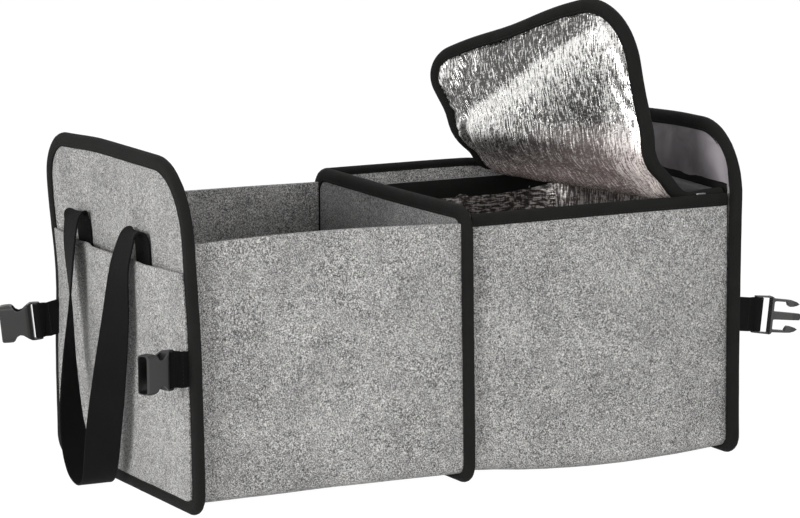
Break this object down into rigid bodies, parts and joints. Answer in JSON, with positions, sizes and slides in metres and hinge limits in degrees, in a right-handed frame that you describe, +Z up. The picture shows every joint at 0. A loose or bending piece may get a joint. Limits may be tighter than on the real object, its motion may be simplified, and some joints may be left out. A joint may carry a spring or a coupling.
{
  "type": "car boot organizer with cooler compartment",
  "caption": "Felt boot organizer with bound edges: an open compartment, a foil-lined insulated compartment with a folding lid, end pockets, webbing handles and side-release buckles.",
  "frame": {"origin": "On the floor, in the middle of the divider's bound lower edge: midway across the bag.", "axes": "+X along the bag towards the insulated compartment, +Y across it towards the back, -Y is the front that the picture shows, +Z up."},
  "size_m": [0.6399, 0.3168, 0.4116],
  "materials": {
    "grey_felt": "light grey melange needle felt, matt and slightly hairy",
    "black_binding": "matt black folded polyester binding tape",
    "black_webbing": "black polypropylene webbing",
    "grey_lining": "smooth dark grey woven lining",
    "base_board": "fabric-covered stiffening board",
    "white_foam": "white closed-cell polyethylene foam",
    "foil": "crinkled aluminium foil facing",
    "dark_plastic": "dark grey moulded acetal, satin",
    "zip_metal": "nickel-plated zip slider and pull"
  },
  "bodies": {
    "bag": {"end_panel_left": "grey_felt", "end_panel_right": "grey_felt", "end_left_binding": "black_binding", "end_right_binding": "black_binding", "end_lining_right": "grey_lining", "divider_panel": "grey_felt", "divider_binding": "black_binding", "storage_walls": "grey_felt", "storage_base_board": "base_board", "cooler_walls": "grey_felt", "cooler_base_board": "base_board", "cooler_front_rim_band": "black_binding", "cooler_back_rim_band": "black_binding", "cooler_insulation": "white_foam", "cooler_liner": "foil", "cooler_deck": "grey_felt", "zip_tape_rim": "black_binding", "lid_hinge_tape": "black_binding", "lid_root": "foil", "lid_root_binding_back": "black_binding", "lid_root_binding_front": "black_binding", "pocket_left": "grey_felt", "pocket_right": "grey_felt", "handle_left": "black_webbing", "handle_right": "black_webbing", "strap_left_front": "black_webbing", "strap_left_back": "black_webbing", "strap_right_front": "black_webbing", "strap_right_back": "black_webbing", "zip_slider": "zip_metal"},
    "lid_fold": {"lid_middle": "foil", "lid_middle_binding_back": "black_binding", "lid_middle_binding_front": "black_binding"},
    "lid_flap": {"lid_panel": "foil", "lid_panel_binding": "black_binding"},
    "buckle_left_front": {"buckle_socket_left_front": "dark_plastic"},
    "buckle_left_back": {"buckle_socket_left_back": "dark_plastic"},
    "buckle_right_front": {"buckle_plug_right_front": "dark_plastic"},
    "buckle_right_back": {"buckle_plug_right_back": "dark_plastic"},
    "pull": {"zip_pull": "zip_metal"}
  },
  "joints": [
    {"name": "lid_first_fold", "type": "hinge", "parent": "bag", "child": "lid_fold", "pos_m": [0.18995, 0, 0.2407], "axis": [-0.2385, 0.9711, 0], "range_deg": [-44.35, 8]},
    {"name": "lid_second_fold", "type": "hinge", "parent": "lid_fold", "child": "lid_flap", "pos_m": [0.16164, 0.00256, 0.26698], "axis": [-0.2385, 0.9711, 0], "range_deg": [-44.35, 8]},
    {"name": "buckle_left_front_swivel", "type": "hinge", "parent": "bag", "child": "buckle_left_front", "pos_m": [-0.27255, -0.1394, 0.124], "axis": [0, 0, 1], "range_deg": [-73, 27]},
    {"name": "buckle_left_back_swivel", "type": "hinge", "parent": "bag", "child": "buckle_left_back", "pos_m": [-0.27695, 0.1394, 0.12212], "axis": [-0.1045, 0, 0.9945], "range_deg": [-23, 77]},
    {"name": "buckle_right_front_swivel", "type": "hinge", "parent": "bag", "child": "buckle_right_front", "pos_m": [0.28987, -0.1394, 0.12108], "axis": [0.1219, 0, 0.9925], "range_deg": [-40, 60]},
    {"name": "buckle_right_back_swivel", "type": "hinge", "parent": "bag", "child": "buckle_right_back", "pos_m": [0.28999, 0.1394, 0.12233], "axis": [0.0698, 0, 0.9976], "range_deg": [-62, 38]},
    {"name": "zip_pull_flip", "type": "hinge", "parent": "bag", "child": "pull", "pos_m": [0.2337, -0.1334, 0.2252], "axis": [1, 0, 0], "range_deg": [-4, 22]}
  ],
  "couplings": [
    {"joint": "lid_second_fold", "follows": "lid_first_fold", "ratio": 1}
  ]
}
